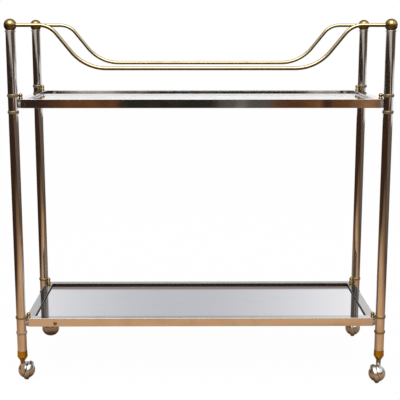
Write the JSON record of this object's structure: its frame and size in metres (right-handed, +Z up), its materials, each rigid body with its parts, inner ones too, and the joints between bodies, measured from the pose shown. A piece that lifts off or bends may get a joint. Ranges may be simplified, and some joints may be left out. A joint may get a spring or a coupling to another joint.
{
  "type": "bar cart",
  "caption": "Two-tier bar cart: chrome tube posts with brass balls and dipped brass rails, a glass and a mirrored shelf in square tube frames, on swivelling ball casters.",
  "frame": {"origin": "on the floor, under the middle of the four posts", "axes": "+X to the right along the shelves, +Y to the back, +Z up"},
  "size_m": [0.8268, 0.3656, 0.8023],
  "materials": {
    "chrome": "bright plated, lightly pitted",
    "brass": "polished, slightly aged",
    "grey_glass": "clear with a grey tint",
    "mirror": "silvered at the back",
    "steel": "plain turned"
  },
  "bodies": {
    "cart": {"post_front_left": "chrome", "ball_front_left": "brass", "ferrule_front_left": "brass", "post_front_right": "chrome", "ball_front_right": "brass", "ferrule_front_right": "brass", "post_back_left": "chrome", "ball_back_left": "brass", "ferrule_back_left": "brass", "post_back_right": "chrome", "ball_back_right": "brass", "ferrule_back_right": "brass", "post_caps": "chrome", "ball_studs": "steel", "caster_sockets": "steel", "front_rail": "brass", "back_rail": "brass", "upper_collars": "brass", "upper_front_bar": "chrome", "upper_back_bar": "chrome", "upper_left_bar": "chrome", "upper_right_bar": "chrome", "upper_corner_blocks": "chrome", "upper_glass_ledges": "chrome", "upper_glass": "grey_glass", "upper_finials": "brass", "lower_collars": "brass", "lower_front_bar": "chrome", "lower_back_bar": "chrome", "lower_left_bar": "chrome", "lower_right_bar": "chrome", "lower_corner_blocks": "chrome", "lower_glass_ledges": "chrome", "lower_mirror": "mirror", "lower_finials": "brass", "corner_studs": "steel", "corner_spacers": "chrome", "ledge_screw": "steel"},
    "caster_front_left": {"caster_stem_front_left": "steel", "caster_hood_front_left": "chrome", "caster_axle_front_left": "steel"},
    "wheel_front_left": {"wheel_rim_front_left": "chrome", "wheel_dome_front_left": "chrome"},
    "caster_front_right": {"caster_stem_front_right": "steel", "caster_hood_front_right": "chrome", "caster_axle_front_right": "steel"},
    "wheel_front_right": {"wheel_rim_front_right": "chrome", "wheel_dome_front_right": "chrome"},
    "caster_back_left": {"caster_stem_back_left": "steel", "caster_hood_back_left": "chrome", "caster_axle_back_left": "steel"},
    "wheel_back_left": {"wheel_rim_back_left": "chrome", "wheel_dome_back_left": "chrome"},
    "caster_back_right": {"caster_stem_back_right": "steel", "caster_hood_back_right": "chrome", "caster_axle_back_right": "steel"},
    "wheel_back_right": {"wheel_rim_back_right": "chrome", "wheel_dome_back_right": "chrome"}
  },
  "joints": [
    {"name": "caster_swivel_front_left", "type": "hinge", "parent": "cart", "child": "caster_front_left", "pos_m": [-0.4, -0.158, 0.0505], "axis": [0, 0, 1], "continuous": true},
    {"name": "wheel_spin_front_left", "type": "hinge", "parent": "caster_front_left", "child": "wheel_front_left", "pos_m": [-0.38973, -0.14475, 0.02124], "axis": [0.9653, -0.0337, -0.2588], "continuous": true},
    {"name": "caster_swivel_front_right", "type": "hinge", "parent": "cart", "child": "caster_front_right", "pos_m": [0.4, -0.158, 0.0505], "axis": [0, 0, 1], "continuous": true},
    {"name": "wheel_spin_front_right", "type": "hinge", "parent": "caster_front_right", "child": "wheel_front_right", "pos_m": [0.38996, -0.17143, 0.02124], "axis": [-0.9658, 0.0169, -0.2588], "continuous": true},
    {"name": "caster_swivel_back_left", "type": "hinge", "parent": "cart", "child": "caster_back_left", "pos_m": [-0.4, 0.158, 0.0505], "axis": [0, 0, 1], "continuous": true},
    {"name": "wheel_spin_back_left", "type": "hinge", "parent": "caster_back_left", "child": "wheel_back_left", "pos_m": [-0.3856, 0.14942, 0.02124], "axis": [0.0842, -0.9623, -0.2588], "continuous": true},
    {"name": "caster_swivel_back_right", "type": "hinge", "parent": "cart", "child": "caster_back_right", "pos_m": [0.4, 0.158, 0.0505], "axis": [0, 0, 1], "continuous": true},
    {"name": "wheel_spin_back_right", "type": "hinge", "parent": "caster_back_right", "child": "wheel_back_right", "pos_m": [0.3895, 0.14493, 0.02124], "axis": [-0.9646, 0.0506, -0.2588], "continuous": true}
  ]
}
